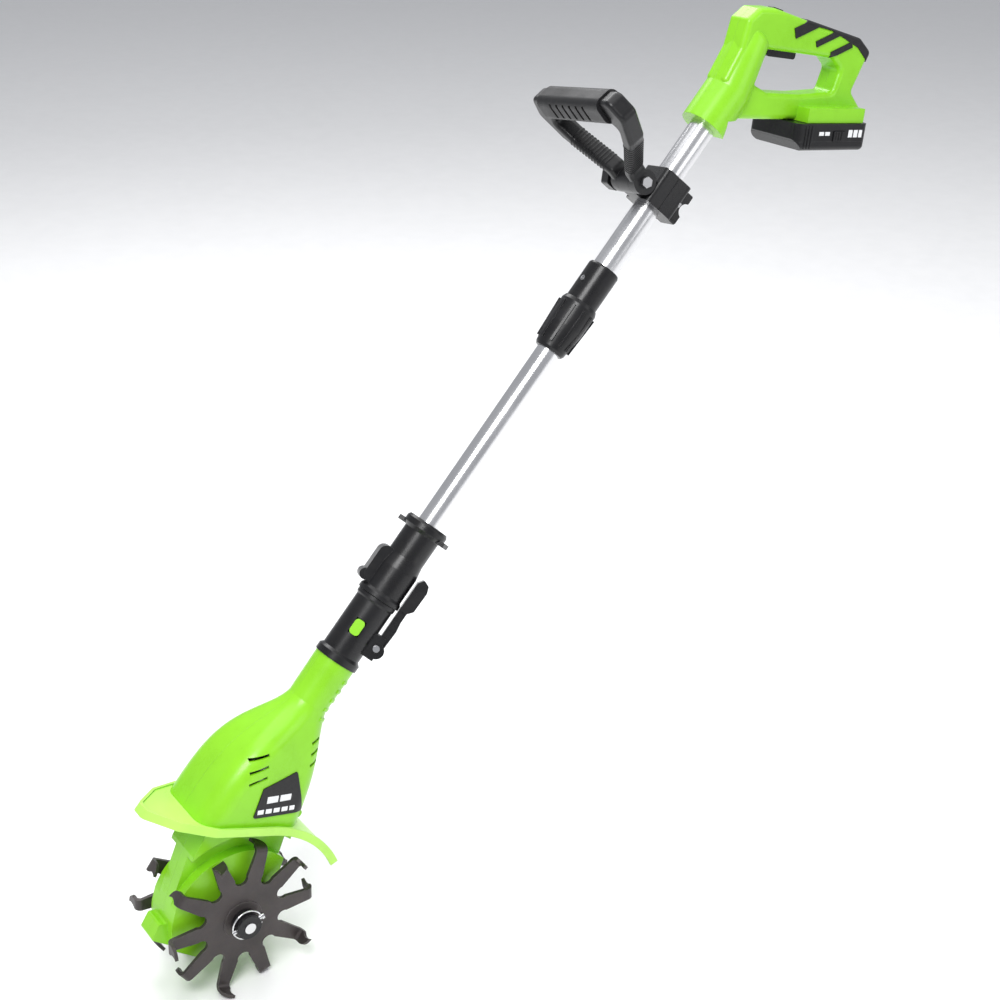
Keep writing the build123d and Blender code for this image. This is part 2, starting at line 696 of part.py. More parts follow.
def clamp_rear():
    rear = clamp_block() & Pos(50.3, 0, 858) * Box(100, 200, 200)
    tail = Pos(24, 0, 858) * Box(12, 30, 36) - cross_rod(8, 32, -30, 30, 858)
    rear += fillet(tail.edges().filter_by(Axis.X), 3)
    rear -= rod(UPPER_R + 0.08, 800, 900)
    for y in (-18.7, 18.7):
        rear -= Pos(10, y, 858) * Rot(0, 90, 0) * Cylinder(2.0, 30)
        rear -= Pos(19, y, 858) * Rot(0, 90, 0) * Cylinder(3.8, 5)
    return rear


def clamp_screws():
    screws = []
    for y in (-18.7, 18.7):
        shank = Pos(2.4, y, 858) * Rot(0, 90, 0) * Cylinder(1.95, 30)
        head = Pos(18.2, y, 858) * Rot(0, 90, 0) * Cylinder(3.5, 2.8)
        screws.append(shank + head - Pos(19.6, y, 858) * Box(2, 1, 5))
    return screws


def loop_outline(points):
    mirrored = [(x, -y) for x, y in reversed(points)]
    return make_face(Polyline(*points, *mirrored, close=True))


def loop_frame():
    outer = fillet(loop_outline(LOOP_OUTER).vertices(), 9)
    inner = fillet(loop_outline(LOOP_INNER).vertices().sort_by(Axis.X)[:8], 6)
    frame = extrude(outer - inner, 10, both=True)
    rims = frame.edges().filter_by(Plane.XY)
    frame = fillet(rims, 4.5)
    frame -= Pos(17, 0, 0) * Box(40, 80, 40)
    for side in (LEFT, RIGHT):
        frame += cross_rod(13, 0, min(12.3 * side, 24.3 * side), max(12.3 * side, 24.3 * side), 0)
    frame -= cross_rod(3.1, 0, -40, 40, 0)
    frame -= Pos(11, 0, 0) * Box(60, 24.6, 60)
    return LOOP * frame


def loop_grip():
    grip = Pos(LOOP_BAR_X, 0, 0) * Box(29, 128, 28)
    grip = fillet(grip.edges().filter_by(Axis.Y), 9)
    for k in range(6):
        grip -= Pos(LOOP_BAR_X - 1, 36 - 14 * k, -14) * Box(17, 4, 5)
    return LOOP * grip - loop_frame()


def pivot_bolt():
    bolt = cross_rod(3.0, LOOP_PIVOT[0], -26, 45, 850)
    head = Pos(LOOP_PIVOT[0], -27.2, 850) * Rot(90, 0, 0) * extrude(RegularPolygon(6, 6), 2, both=True)
    return bolt + head


def pivot_knob():
    star = RegularPolygon(13.5, 6)
    knob = extrude(fillet(star.vertices(), 3), 16)
    knob = fillet(knob.edges().group_by(Axis.Z)[-1], 3) + Pos(0, 0, -4) * Cylinder(8.5, 8)
    knob = Pos(LOOP_PIVOT[0], 32.8, 850) * Rot(-90, 0, 0) * knob
    return knob - cross_rod(3.1, LOOP_PIVOT[0], 20, 45.3, 850)


# ---------------------------------------------------------------- rear handle

def bar_body(grow):
    outline = side_face(HANDLE_PROFILE, 5)
    hole = side_face(HOLE_PROFILE, 6)
    if grow:
        outline = offset(outline, grow)
        hole = offset(hole, -grow)
    bar = slab(outline - hole, BAR_HALF + grow)
    rims = bar.edges().filter_by(lambda edge: abs(abs(edge.center().Y) - BAR_HALF - grow) < 0.01)
    return fillet(rims, 6 + grow)


def handle_neck(grow):
    base = Pos(0, 0, 985) * Circle(COLLAR_R + grow)
    top = Pos(-16, 0, 1050) * Circle(20.5 + grow)
    lean = loft([base.face(), top.face()])
    return rod(COLLAR_R + grow, HANDLE_Z0, 985) + fillet(lean.edges().group_by(Axis.Z)[-1], 7)


def shoe(grow):
    block = PACK * Pos(1, 0, 8) * Box(88, 68 + 2 * grow, 15.4)
    block = fillet(block.faces().sort_by(Axis.Z)[-1].edges(), 4)
    return block


def handle_outer(grow=0.0):
    return bar_body(grow) + handle_neck(grow)


def rail_room():
    room = PACK * Pos(20, 0, 4.5) * Box(122.4, RAIL_W + 1, 10.6)
    return room + PACK * Pos(20, 0, 7.4) * Box(122.4, RAIL_W + 7, 4.8)


def handle_shell(side):
    outer = handle_outer() + shoe(0)
    outline = offset(side_face(HANDLE_PROFILE, 5), -3)
    hole = offset(side_face(HOLE_PROFILE, 6), 3)
    inner = slab(outline - hole, BAR_HALF - 3) - PACK * Pos(0, 0, 5) * Box(200, 100, 16)
    shell = outer - (inner - rod(COLLAR_R, 900, 1003)) - rod(UPPER_R + 0.05, 930, 1000) - rail_room()
    shell -= PACK * Pos(0, 0, -30) * Box(300, 200, 60.6)
    for x, z in HANDLE_SCREWS:
        shell += cross_rod(4.4, x, -BAR_HALF + 1.5, BAR_HALF - 1.5, z)
    for x, z in HANDLE_SCREWS:
        shell -= cross_rod(2.1, x, -BAR_HALF + 4, 60, z) + cross_rod(3.9, x, BAR_HALF - 6.7, 60, z)
    shell -= TRIGGER * Box(42.6, 14.6, 20)
    shell -= LOCK_OFF * Box(16.6, 8.6, 14)
    return max((shell & half_space(side)).solids(), key=lambda solid: solid.volume)


def handle_screws():
    return [cross_screw(x, -BAR_HALF + 5, BAR_HALF - 4.2, z) for x, z in HANDLE_SCREWS]


def handle_grip():
    """The rubber overmould on the top of the bar with three stripes down each side."""
    top = side_face([(30, 1112), (24, 1096), (60, 1115), (104, 1127), (128, 1126), (140, 1136), (130, 1152), (98, 1150)])
    shape = slab(top, 30)
    for x, length, width in ((38, 46, 11), (66, 36, 6.5), (90, 32, 6.5)):
        shape += Pos(x, 0, 1106 + x * 0.12) * Rot(0, 32, 0) * Pos(0, 0, -length / 2 + 8) * Box(width, 60, length)
    skin = bar_body(1.2) - bar_body(0)
    return max((skin & shape).solids(), key=lambda solid: solid.volume)


def trigger():
    blade_part = TRIGGER * Pos(0, 0, 1) * Box(42, 14, 16)
    blade_part = fillet(blade_part.edges().filter_by(Axis.Y), 3)
    return blade_part + TRIGGER * Pos(0, 0, 5.2) * Box(47, 20, 2.6)


def lock_off_button():
    cap = fillet((LOCK_OFF * Pos(0, 0, -1.6) * Box(16, 8, 7.6)).edges().filter_by(Axis.Y), 1.5)
    return cap + LOCK_OFF * Pos(0, 0, -6.2) * Box(21, 13, 2)


def trigger_spring():
    return TRIGGER * Pos(14.6, 0, 9.1) * coil_spring(3.6, 0.45, 18, 6)


def switch_block():
    return TRIGGER * Pos(-2, 0, 22.5) * Box(24, 12, 11) + TRIGGER * Pos(-2, 0, 16.4) * Box(5, 5, 2.4)


def terminal_block():
    block = PACK * Pos(-38.9, 0, 4.6) * Box(4.2, 40, 8.6)
    for y in (-12, 0, 12):
        block += PACK * Pos(-31, y, 4.6) * Box(12, 1, 5)
    return block


# ---------------------------------------------------------------- battery pack

def pack_body():
    """The case with its nose sloped at the bottom."""
    body = Pos(PACK_NOSE, 0, -PACK_H / 2) * Box(PACK_L, PACK_W, PACK_H)
    body = fillet(body.edges().filter_by(Axis.Z), 9)
    body = fillet(body.faces().sort_by(Axis.Z)[0].edges(), 5)
    return body - Pos(PACK_NOSE - PACK_L / 2, 0, -PACK_H) * Rot(0, 45, 0) * Box(17, 100, 17)


def pack_room():
    room = Pos(0, 0, -PACK_H / 2) * Box(95, PACK_W - 4.4, PACK_H - 4.6)
    return fillet(room.edges().filter_by(Axis.Z), 4)


def button_room(side):
    return Pos(4, side * PACK_W / 2, -13) * Box(17, 12, 11)


def pack_case_top():
    case = (pack_body() & Pos(0, 0, 0) * Box(200, 200, 2 * PACK_SPLIT)) - pack_room()
    rail = Pos(6, 0, RAIL_H / 2 - 0.1) * Box(84, RAIL_W, RAIL_H + 0.2) + Pos(6, 0, 7.2) * Box(84, RAIL_W + 6, 3.6)
    case += rail
    for y in (-12, 0, 12):
        case -= Pos(-31, y, 4.6) * Box(16, 2, 7)
    for side in (LEFT, RIGHT):
        case -= button_room(side)
    return PACK * case


def pack_case_bottom():
    case = (pack_body() & Pos(0, 0, -PACK_SPLIT - 50) * Box(200, 200, 100)) - pack_room()
    return PACK * case


def cells():
    return [PACK * Pos(18.6 * k, 0, -14.6) * Rot(90, 0, 0) * Cylinder(9.1, 65) for k in (-2, -1, 0, 1, 2)]


def release_button(side):
    button = Pos(4, side * (PACK_W / 2 + 0.1), -13) * Box(16.4, 2.6, 10.4)
    for x in (-4, 0, 4):
        button += Pos(4 + x, side * (PACK_W / 2 + 1.6), -13) * Box(1.6, 1, 9)
    return PACK * button


# ---------------------------------------------------------------- write the pieces

def main():
    os.makedirs("parts", exist_ok=True)
    for name, side in (("left", LEFT), ("right", RIGHT)):
        save(f"tine_disc_{name}", tine_disc(side, 5))
        save(f"head_shell_{name}", head_shell(side))
        save(f"handle_shell_{name}", handle_shell(side))
        save(f"battery_release_{name}", release_button(side))
        save(f"gear_housing_{name}", gear_housing(side))
    save("hubs", hub(LEFT), hub(RIGHT))
    save("lock_pins", lock_pin(LEFT), lock_pin(RIGHT))
    save("output_shaft", output_shaft())
    save("worm_wheel", worm_wheel())
    save("worm", worm())
    save("ball_bearings", *worm_bearings(), *shaft_bearings())
    save("shaft_seals", *shaft_seals())
    save("motor_can", motor_can())
    save("motor_end_cap", motor_end_cap())
    save("motor_magnets", *motor_magnets())
    save("motor_brushes", *motor_brushes())
    save("armature", armature())
    save("cooling_fan", fan())
    save("drive_coupler", drive_coupler())
    save("head_screws", *head_screws())
    save("guard", guard())
    save("guard_screws", *guard_screws())
    save("badge", badge())
    save("motor_bracket", motor_bracket())
    save("trigger_spring", trigger_spring())
    save("upper_tube", upper_tube())
    save("lower_tube", ring(LOWER_R, LOWER_BORE, *LOWER_Z))
    save("pole_collar", pole_collar())
    save("lock_collet", lock_collet())
    save("lock_nut", lock_nut())
    save("coiled_lead", coiled_lead())
    save("lower_lead", lower_lead())
    save("coupling_socket", coupling_socket())
    save("lead_plug", *lead_plug())
    save("coupling_sleeve", coupling_sleeve())
    save("neck_insert", neck_insert())
    save("detent_button", detent_button())
    save("latch_lever", latch_lever())
    save("latch_pin", latch_pin())
    save("clamp_front", CLAMP * clamp_front())
    save("clamp_rear", CLAMP * clamp_rear())
    save("clamp_screws", *[CLAMP * screw for screw in clamp_screws()])
    save("loop_frame", CLAMP * loop_frame())
    save("loop_grip", CLAMP * loop_grip())
    save("pivot_bolt", CLAMP * pivot_bolt())
    save("pivot_knob", CLAMP * pivot_knob())
    save("handle_screws", *handle_screws(), collar_screw())
    save("handle_grip", handle_grip())
    save("trigger", trigger())
    save("lock_off_button", lock_off_button())
    save("switch_block", switch_block())
    save("terminal_block", terminal_block())
    save("pack_case_top", pack_case_top())
    save("pack_case_bottom", pack_case_bottom())
    save("battery_cells", *cells())


if __name__ == "__main__":
    main()
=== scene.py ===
"""The looks of a battery mini cultivator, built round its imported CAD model."""

import json
import math

import bmesh
import bpy
from mathutils import Matrix, Vector
from mathutils.bvhtree import BVHTree


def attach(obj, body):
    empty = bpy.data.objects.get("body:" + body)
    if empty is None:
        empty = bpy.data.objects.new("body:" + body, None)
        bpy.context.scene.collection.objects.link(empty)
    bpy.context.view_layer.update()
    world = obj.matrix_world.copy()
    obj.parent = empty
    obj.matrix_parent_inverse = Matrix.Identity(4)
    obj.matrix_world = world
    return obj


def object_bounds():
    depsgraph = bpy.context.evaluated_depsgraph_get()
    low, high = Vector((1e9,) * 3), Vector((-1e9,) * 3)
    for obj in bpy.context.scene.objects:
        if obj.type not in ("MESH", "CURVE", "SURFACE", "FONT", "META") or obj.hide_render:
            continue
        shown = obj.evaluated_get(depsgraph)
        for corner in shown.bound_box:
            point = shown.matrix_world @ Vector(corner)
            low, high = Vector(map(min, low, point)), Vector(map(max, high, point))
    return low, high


LEAN = math.radians(42)
GRIP = Vector((0.067, 0, 1.1))
CAMERA_AT = Vector((-1.3135, -1.2693, 0.2743))
CAMERA_YAW = 54.33
CAMERA_DOWN = 24.57
CAMERA_ROLL = 1.54
FOCAL_MM = 58.7
SENSOR_MM = 36

# The pole frame of the CAD, in metres: Z up the pole from the height of the tine axle, X towards the user.
POLE = Matrix.Rotation(LEAN, 4, "Y") @ Matrix.Translation(-GRIP)

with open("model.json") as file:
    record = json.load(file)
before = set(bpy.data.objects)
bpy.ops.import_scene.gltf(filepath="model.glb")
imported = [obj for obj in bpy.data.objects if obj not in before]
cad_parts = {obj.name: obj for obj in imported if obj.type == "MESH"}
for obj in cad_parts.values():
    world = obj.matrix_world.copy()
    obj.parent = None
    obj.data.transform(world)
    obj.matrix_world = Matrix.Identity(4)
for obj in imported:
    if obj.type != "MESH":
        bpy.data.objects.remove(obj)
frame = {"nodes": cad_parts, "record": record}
cad_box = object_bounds()
nodes = frame["nodes"]


# ------------------------------------------------------------------ materials

# Noise scales: patches of a few centimetres, and flecks of a few millimetres.
BROAD_SCALE = 22
SPECK_SCALE = 160

# The part of each input's range over which an edge shows, wear breaks through it, and dust settles.
EDGE_RANGE = (0.82, 0.985)
WEAR_RANGE = (0.42, 0.62)
DUST_RANGE = (0.45, 0.7)

# How far the roughness swings with the patches, and what wear and the fine grain add to it.
ROUGH_LEAST = 0.82
ROUGH_MOST = 1.2
ROUGH_WORN = 0.12
ROUGH_GRAIN = 0.04

COAT_ROUGHNESS = 0.12
BEVEL_SAMPLES = 4


def link(tree, a, b):
    tree.links.new(a, b)


def noise(tree, vector, scale, detail=4.0, roughness=0.55):
    node = tree.nodes.new("ShaderNodeTexNoise")
    node.inputs["Scale"].default_value = scale
    node.inputs["Detail"].default_value = detail
    node.inputs["Roughness"].default_value = roughness
    link(tree, vector, node.inputs["Vector"])
    return node.outputs["Fac"]


def remap(tree, value, low, high, start=0.3, end=0.7):
    node = tree.nodes.new("ShaderNodeMapRange")
    node.inputs["From Min"].default_value = start
    node.inputs["From Max"].default_value = end
    node.inputs["To Min"].default_value = low
    node.inputs["To Max"].default_value = high
    link(tree, value, node.inputs["Value"])
    return node.outputs["Result"]


def math_node(tree, operation, a, b):
    node = tree.nodes.new("ShaderNodeMath")
    node.operation = operation
    for socket, value in zip(node.inputs, (a, b)):
        if isinstance(value, (int, float)):
            socket.default_value = value
        else:
            link(tree, value, socket)
    return node.outputs[0]


def mix_colour(tree, factor, a, b):
    node = tree.nodes.new("ShaderNodeMix")
    node.data_type = "RGBA"
    link(tree, factor, node.inputs["Factor"])
    for socket, value in ((node.inputs["A"], a), (node.inputs["B"], b)):
        if isinstance(value, tuple):
            socket.default_value = (*value, 1)
        else:
            link(tree, value, socket)
    return node.outputs["Result"]


def material(
    name, colour, rough, metallic=0.0, shade=0.12, grain=900.0, grain_depth=0.00006,
    streak=None, wear=None, wear_amount=0.6, edge=0.0007, dust=0.0,
    dust_colour=(0.3, 0.25, 0.19), coat=0.0, gloss=0.5,
):
    """A procedural finish: varied colour and roughness, a fine grain, rounded and worn edges."""
    made = bpy.data.materials.new(name)
    made.use_nodes = True
    tree = made.node_tree
    shader = tree.nodes["Principled BSDF"]
    shader.inputs["Metallic"].default_value = metallic
    shader.inputs["Coat Weight"].default_value = coat
    shader.inputs["Coat Roughness"].default_value = COAT_ROUGHNESS
    shader.inputs["Specular IOR Level"].default_value = gloss

    place = tree.nodes.new("ShaderNodeTexCoord")
    turn = tree.nodes.new("ShaderNodeMapping")
    turn.inputs["Rotation"].default_value = (0, -LEAN, 0)
    if streak:
        turn.inputs["Scale"].default_value = streak
    link(tree, place.outputs["Object"], turn.inputs["Vector"])

    broad = noise(tree, place.outputs["Object"], BROAD_SCALE, 5)
    fine = noise(tree, turn.outputs["Vector"], grain, 3)
    speck = noise(tree, place.outputs["Object"], SPECK_SCALE, 6, 0.7)

    dark = tuple(c * (1 - shade) for c in colour)
    light = tuple(min(c * (1 + shade), 1) for c in colour)
    tone = mix_colour(tree, remap(tree, broad, 0, 1), dark, light)

    bevel = tree.nodes.new("ShaderNodeBevel")
    bevel.samples = BEVEL_SAMPLES
    bevel.inputs["Radius"].default_value = edge
    shape = tree.nodes.new("ShaderNodeNewGeometry")
    facing = tree.nodes.new("ShaderNodeVectorMath")
    facing.operation = "DOT_PRODUCT"
    link(tree, bevel.outputs["Normal"], facing.inputs[0])
    link(tree, shape.outputs["Normal"], facing.inputs[1])
    ridge = remap(tree, facing.outputs["Value"], 1, 0, *EDGE_RANGE)
    worn = math_node(tree, "MULTIPLY", ridge, remap(tree, speck, 0, 1, *WEAR_RANGE))
    if wear:
        tone = mix_colour(tree, math_node(tree, "MULTIPLY", worn, wear_amount), tone, wear)
    if dust:
        settled = math_node(tree, "MULTIPLY", remap(tree, speck, 0, 1, *DUST_RANGE), dust)
        tone = mix_colour(tree, settled, tone, dust_colour)
    link(tree, tone, shader.inputs["Base Color"])

    sheen = remap(tree, broad, rough * ROUGH_LEAST, min(rough * ROUGH_MOST, 1))
    sheen = math_node(tree, "ADD", sheen, math_node(tree, "MULTIPLY", worn, ROUGH_WORN))
    sheen = math_node(tree, "ADD", sheen, remap(tree, fine, -ROUGH_GRAIN, ROUGH_GRAIN))
    link(tree, sheen, shader.inputs["Roughness"])

    relief = tree.nodes.new("ShaderNodeBump")
    relief.inputs["Strength"].default_value = 1.0
    relief.inputs["Distance"].default_value = grain_depth
    link(tree, fine, relief.inputs["Height"])
    link(tree, bevel.outputs["Normal"], relief.inputs["Normal"])
    link(tree, relief.outputs["Normal"], shader.inputs["Normal"])
    return made


# The scale of the grain on a drawn tube, which runs along the pole.
DRAWN = (1.0, 1.0, 0.012)

green = material("lime_shell", (0.245, 0.62, 0.016), 0.30, shade=0.06, grain=1500, grain_depth=0.00002,
                 wear=(0.50, 0.88, 0.20), wear_amount=0.35, edge=0.0009, coat=0.12, gloss=0.42)
pale_green = material("lime_guard", (0.44, 0.80, 0.12), 0.34, shade=0.07, grain=1300, grain_depth=0.00003,
                      wear=(0.70, 0.95, 0.40), wear_amount=0.4, dust=0.05, edge=0.0008, coat=0.08, gloss=0.42)
black = material("black_plastic", (0.008, 0.008, 0.009), 0.30, shade=0.25, grain=1700, grain_depth=0.00004,
                 wear=(0.06, 0.06, 0.065), wear_amount=0.5, dust=0.012, gloss=0.38)
rubber = material("grip_rubber", (0.009, 0.009, 0.010), 0.46, shade=0.2, grain=1100, grain_depth=0.00010,
                  wear=(0.035, 0.035, 0.035), wear_amount=0.5, dust=0.02, gloss=0.35)
tube = material("tube_aluminium", (0.80, 0.80, 0.81), 0.22, metallic=1.0, shade=0.03, grain=1800,
                grain_depth=0.00001, streak=DRAWN, wear=(0.93, 0.93, 0.93), wear_amount=0.4, edge=0.0004)
steel = material("tine_steel", (0.060, 0.052, 0.052), 0.42, metallic=0.45, shade=0.3, grain=700,
                 grain_depth=0.00014, wear=(0.30, 0.29, 0.29), wear_amount=0.75, dust=0.12,
                 dust_colour=(0.11, 0.075, 0.05), edge=0.0006)
bright = material("bright_steel", (0.72, 0.72, 0.73), 0.16, metallic=1.0, shade=0.06, grain=1500,
                  grain_depth=0.00002, wear=(0.9, 0.9, 0.9), edge=0.0003)
zinc = material("zinc_screw", (0.42, 0.42, 0.43), 0.33, metallic=1.0, shade=0.12, grain=1500,
                grain_depth=0.00003, wear=(0.7, 0.7, 0.7), edge=0.0003)
cast = material("cast_alloy", (0.50, 0.51, 0.53), 0.5, metallic=1.0, shade=0.1, grain=600,
                grain_depth=0.0001, wear=(0.8, 0.8, 0.8), edge=0.0006)
brass = material("wheel_brass", (0.62, 0.45, 0.18), 0.3, metallic=1.0, shade=0.08, grain=1200,
                 grain_depth=0.00003, wear=(0.85, 0.7, 0.4), edge=0.0003)
ferrite = material("magnet_ferrite", (0.05, 0.05, 0.055), 0.6, metallic=0.2, shade=0.2, grain=900,
                   grain_depth=0.00008, wear=(0.12, 0.12, 0.12))
sleeve = material("cell_sleeve", (0.06, 0.22, 0.42), 0.3, shade=0.08, grain=1300, grain_depth=0.00002,
                  wear=(0.2, 0.4, 0.6), edge=0.0004)
silver = material("silver_print", (0.80, 0.81, 0.82), 0.38, shade=0.05, grain=1500, grain_depth=0.00002,
                  wear=(0.6, 0.6, 0.6), edge=0.0002)

FINISH = {
    "green_shell": green, "green_button": green, "guard_green": pale_green, "black_plastic": black,
    "black_rubber": rubber, "seal_rubber": rubber, "tube_aluminium": tube, "gearbox_alloy": cast,
    "tine_steel": steel, "bright_steel": bright, "screw_steel": zinc, "motor_steel": zinc,
    "wheel_brass": brass, "magnet_ferrite": ferrite, "carbon": ferrite, "cell_wrap": sleeve,
}
for row in frame["record"]["subparts"]:
    for place in nodes[row["node"]].material_slots:
        place.material = FINISH[row["material_slot"]]


# ------------------------------------------------------------------ raised detail that follows a surface

# A raised strip is rooted this far under the skin, in metres. Its top is this share of its width.
BAND_ROOT = 0.0004
BAND_TOP = 0.6

# How far a printed bar stands proud, in millimetres.
PRINT_RISE = 0.3


def pole(x, y, z):
    """A point of the pole frame, given in millimetres."""
    return POLE @ Vector((x / 1000, y / 1000, z / 1000))


def pole_way(x, y, z):
    """A direction of the pole frame."""
    return (POLE.to_3x3() @ Vector((x, y, z))).normalized()


def steps(a, b, count):
    """Evenly spaced values from a to b, both included."""
    return [a + (b - a) * k / (count - 1) for k in range(count)]


def surface(*names):
    """The surfaces of some CAD nodes, to be met by rays."""
    points, faces = [], []
    for name in names:
        mesh = nodes[name].data
        first = len(points)
        points += [vertex.co.copy() for vertex in mesh.vertices]
        faces += [[first + k for k in face.vertices] for face in mesh.polygons]
    return BVHTree.FromPolygons(points, faces)


def add_band(mesh, skin, rays, across, width, rise):
    """A raised strip, in millimetres, with sloping sides, along the points where the rays meet the skin."""
    half = width / 2000
    rise = rise / 1000
    profile = [
        (-half, -BAND_ROOT), (-half, rise * 0.5), (-half * BAND_TOP, rise),
        (half * BAND_TOP, rise), (half, rise * 0.5), (half, -BAND_ROOT),
    ]
    rings = []
    for start, way in rays:
        point = skin.ray_cast(start, way)[0]
        if point is not None:
            rings.append([mesh.verts.new(point + across * a - way * h) for a, h in profile])
    for one, other in zip(rings, rings[1:]):
        for k in range(len(profile)):
            n = (k + 1) % len(profile)
            mesh.faces.new((one[k], one[n], other[n], other[k]))
    if len(rings) > 1:
        mesh.faces.new(rings[0])
        mesh.faces.new(list(reversed(rings[-1])))


def add_piece(name, mesh, body, finish):
    """A new piece of the looks, which rides a body and names a slot."""
    bmesh.ops.recalc_face_normals(mesh, faces=mesh.faces)
    data = bpy.data.meshes.new(name)
    mesh.to_mesh(data)
    mesh.free()
    piece = bpy.data.objects.new(name, data)
    bpy.context.scene.collection.objects.link(piece)
    data.materials.append(finish)
    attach(piece, body)


# ------------------------------------------------------------------ badge

BADGE_SLOPE = math.radians(29)
BADGE_MIDDLE = 6
BADGE_STAND = 80

# Each row: its height at the badge's middle, where each bar starts and ends, and how tall its bars are.
BADGE_ROWS = [
    (116.0, [(-9.5, -3.5), (-1.5, 4.5), (6.5, 12.5), (14.5, 20.5), (22.5, 27.5)], 5.0),
    (130.0, [(-7.5, 3.5), (5.5, 16.5)], 7.5),
]


def badge_bars():
    """Plain bars in place of the badge's print, in two rows that run along the badge."""
    mesh = bmesh.new()
    skin = surface("badge")
    up = pole_way(-math.sin(BADGE_SLOPE), 0, math.cos(BADGE_SLOPE))
    for height, spans, size in BADGE_ROWS:
        for low, high in spans:
            rays = []
            for x in steps(low, high, 6):
                z = height + (x - BADGE_MIDDLE) * math.tan(BADGE_SLOPE)
                rays.append((pole(x, -BADGE_STAND, z), pole_way(0, 1, 0)))
            add_band(mesh, skin, rays, up, size, PRINT_RISE)
    add_piece("badge_bars", mesh, "head", silver)


badge_bars()


# ------------------------------------------------------------------ ribs of the front loop

CLAMP_TURN = math.radians(-13)
LOOP_TILT = math.radians(12)
LOOP_PIVOT = (-0.031, 0, 0.85)
LOOP = (
    POLE @ Matrix.Rotation(CLAMP_TURN, 4, "Z") @ Matrix.Translation(LOOP_PIVOT)
    @ Matrix.Rotation(LOOP_TILT, 4, "Y")
)

# Where the ribs of the right leg start and end, in the loop's own frame, and how far out their rays start.
LEG_START = (-0.022, 0.0250)
LEG_END = (-0.054, 0.0585)
LEG_STAND = 0.024
LEG_RIBS = 12
LEG_RIB_WIDTH = 1.9
LEG_RIB_RISE = 0.7


def leg_ribs():
    """Fine ribs round each leg of the loop."""
    skin = surface("loop_frame")
    turn = LOOP.to_3x3()
    for side, name in ((-1, "left"), (1, "right")):
        mesh = bmesh.new()
        start = Vector((LEG_START[0], LEG_START[1] * side, 0))
        end = Vector((LEG_END[0], LEG_END[1] * side, 0))
        along = (end - start).normalized()
        out = Vector((along.y, -along.x, 0)) * -side
        for share in steps(0, 1, LEG_RIBS):
            centre = start.lerp(end, share)
            rays = []
            for angle in steps(0, 360, 33):
                bearing = math.radians(angle)
                way = out * math.cos(bearing) + Vector((0, 0, 1)) * math.sin(bearing)
                rays.append((LOOP @ (centre + way * LEG_STAND), turn @ -way))
            add_band(mesh, skin, rays, turn @ along, LEG_RIB_WIDTH, LEG_RIB_RISE)
        add_piece(f"loop_ribs_{name}", mesh, "aux_loop", black)


leg_ribs()


# ------------------------------------------------------------------ ribs on the neck

NECK_RIBS = 5
NECK_LOWEST = 214
NECK_PITCH = 11
NECK_HALF_ANGLE = 68
NECK_STAND = 40
NECK_RIB_WIDTH = 4.5
NECK_RIB_RISE = 1.1


def neck_ribs():
    """Shallow ribs across the back of the housing's neck."""
    mesh = bmesh.new()
    skin = surface("head_shell_left", "head_shell_right")
    for k in range(NECK_RIBS):
        z = NECK_LOWEST + NECK_PITCH * k
        rays = []
        for angle in steps(-NECK_HALF_ANGLE, NECK_HALF_ANGLE, 25):
            x = math.cos(math.radians(angle))
            y = math.sin(math.radians(angle))
            rays.append((pole(NECK_STAND * x, NECK_STAND * y, z), pole_way(-x, -y, 0)))
        add_band(mesh, skin, rays, pole_way(0, 0, 1), NECK_RIB_WIDTH, NECK_RIB_RISE)
    add_piece("neck_ribs", mesh, "head", green)


neck_ribs()


# ------------------------------------------------------------------ ridges and bars on the battery

# The battery's own frame: X along it towards the user, Z square to its rails. Lengths below are in millimetres.
PACK_AT = (0.124, 0, 1.045)
PACK_TURN = math.radians(-36.5)
PACK = POLE @ Matrix.Translation(PACK_AT) @ Matrix.Rotation(PACK_TURN, 4, "Y")
PACK_STAND = 0.05

RIDGES_AT = (-46, -41.5, -37)
RIDGE_ENDS = (-2.5, -26.5)
RIDGE_WIDTH = 2.6
RIDGE_RISE = 0.9

# Each bar: where it starts and ends along the battery, and how tall it is.
PACK_BARS = [(-26.0, -19.0, 4.0), (-17.0, -10.0, 4.0), (19.0, 25.0, 8.0), (27.0, 33.0, 8.0), (35.0, 40.0, 8.0)]
PACK_BARS_AT = -10.5


def pack_ray(side, x, z):
    """A ray that meets one side of the battery square on, at x and z."""
    return PACK @ Vector((x / 1000, side * PACK_STAND, z / 1000)), PACK.to_3x3() @ Vector((0, -side, 0))


def pack_detail():
    """Ridges down the battery's sides, and plain bars in place of its print."""
    turn = PACK.to_3x3()
    skin = surface("pack_case_top", "pack_case_bottom")
    for side, name in ((-1, "left"), (1, "right")):
        mesh = bmesh.new()
        for x in RIDGES_AT:
            rays = [pack_ray(side, x, z) for z in steps(*RIDGE_ENDS, 12)]
            add_band(mesh, skin, rays, turn @ Vector((1, 0, 0)), RIDGE_WIDTH, RIDGE_RISE)
        add_piece(f"pack_ridges_{name}", mesh, "battery", black)
        mesh = bmesh.new()
        for low, high, size in PACK_BARS:
            rays = [pack_ray(side, x, PACK_BARS_AT) for x in steps(low, high, 4)]
            add_band(mesh, skin, rays, turn @ Vector((0, 0, 1)), size, PRINT_RISE)
        add_piece(f"pack_bars_{name}", mesh, "battery", silver)


pack_detail()


# ------------------------------------------------------------------ camera, light, floor

FLOOR_REACH = 60
SKY_COLOUR = (0.93, 0.95, 1.0, 1)
SKY_STRENGTH = 0.45
MIDDLE = (-0.4, 0, -0.4)

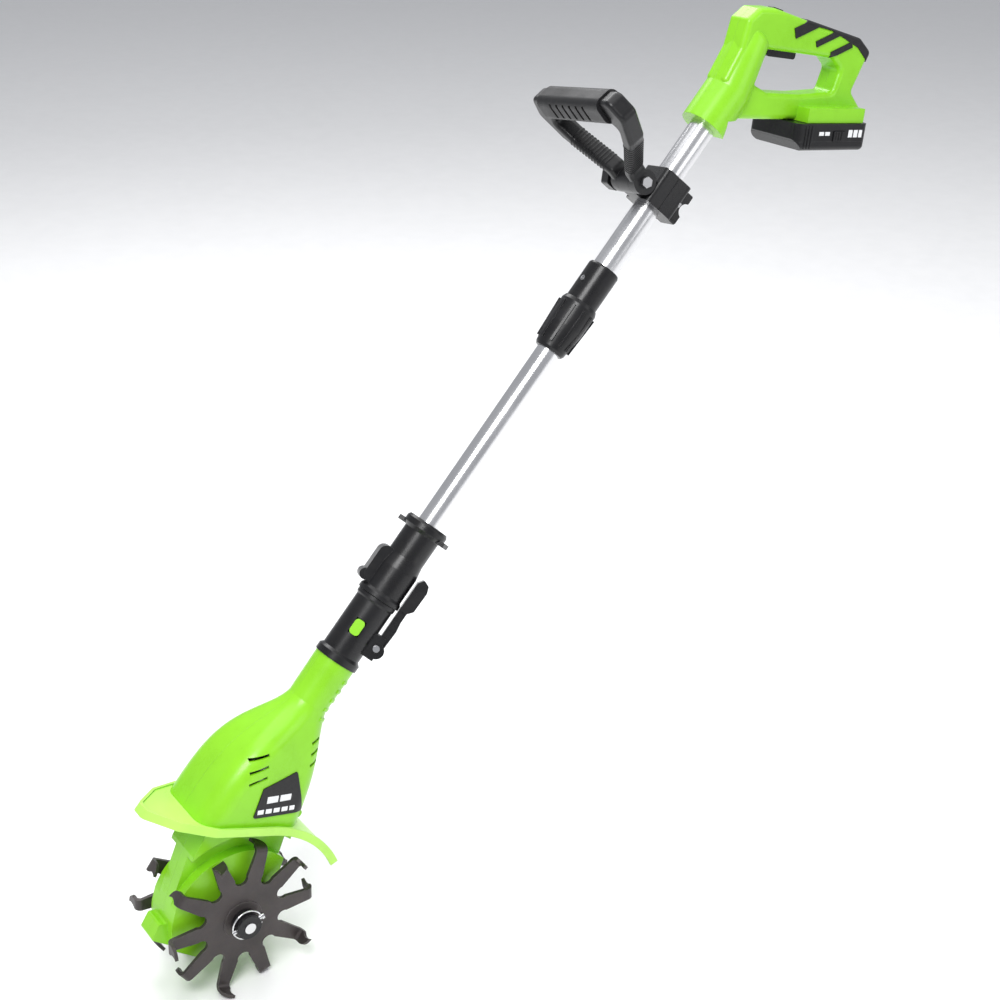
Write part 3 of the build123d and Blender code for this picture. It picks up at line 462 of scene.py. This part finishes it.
# Each light: its name, where it stands, what it points at, its size in metres and its power in watts.
LIGHTS = [
    ("key", (-1.9, -1.3, 1.6), MIDDLE, 1.3, 56),
    ("fill", (0.9, -2.0, 0.5), MIDDLE, 1.6, 10),
    ("back", (0.2, 1.8, 1.4), MIDDLE, 1.4, 24),
    ("overhead", (0.4, 0.6, 3.2), (0.4, 0.6, 0), 5.0, 110),
]


def add_camera():
    data = bpy.data.cameras.new("camera")
    data.lens = FOCAL_MM
    data.sensor_width = SENSOR_MM
    camera = bpy.data.objects.new("camera", data)
    bpy.context.scene.collection.objects.link(camera)
    yaw = Matrix.Rotation(math.radians(CAMERA_YAW - 90), 4, "Z")
    pitch = Matrix.Rotation(math.radians(90 - CAMERA_DOWN), 4, "X")
    roll = Matrix.Rotation(math.radians(CAMERA_ROLL), 4, "Z")
    camera.matrix_world = Matrix.Translation(CAMERA_AT) @ yaw @ pitch @ roll
    bpy.context.scene.camera = camera


def add_light(name, at, target, size, watts):
    data = bpy.data.lights.new(name, "AREA")
    data.shape = "DISK"
    data.size = size
    data.energy = watts
    lamp = bpy.data.objects.new(name, data)
    bpy.context.scene.collection.objects.link(lamp)
    lamp.location = at
    lamp.rotation_euler = (Vector(target) - Vector(at)).to_track_quat("-Z", "Y").to_euler()


def add_stage():
    """A wide plain floor under the lowest point of the tool."""
    low = cad_box[0][2]
    far = FLOOR_REACH
    corners = [(-far, -far, low), (far, -far, low), (far, far, low), (-far, far, low)]
    mesh = bpy.data.meshes.new("floor")
    mesh.from_pydata(corners, [], [(0, 1, 2, 3)])
    floor = bpy.data.objects.new("floor", mesh)
    bpy.context.scene.collection.objects.link(floor)
    paint = material("floor_paper", (0.90, 0.90, 0.90), 0.8, shade=0.01, grain=300, grain_depth=0.00003)
    floor.data.materials.append(paint)


def add_world():
    world = bpy.data.worlds.new("studio")
    world.use_nodes = True
    back = world.node_tree.nodes["Background"]
    back.inputs["Color"].default_value = SKY_COLOUR
    back.inputs["Strength"].default_value = SKY_STRENGTH
    bpy.context.scene.world = world
    bpy.context.scene.view_settings.view_transform = "Standard"


add_camera()
add_world()
add_stage()
for light in LIGHTS:
    add_light(*light)
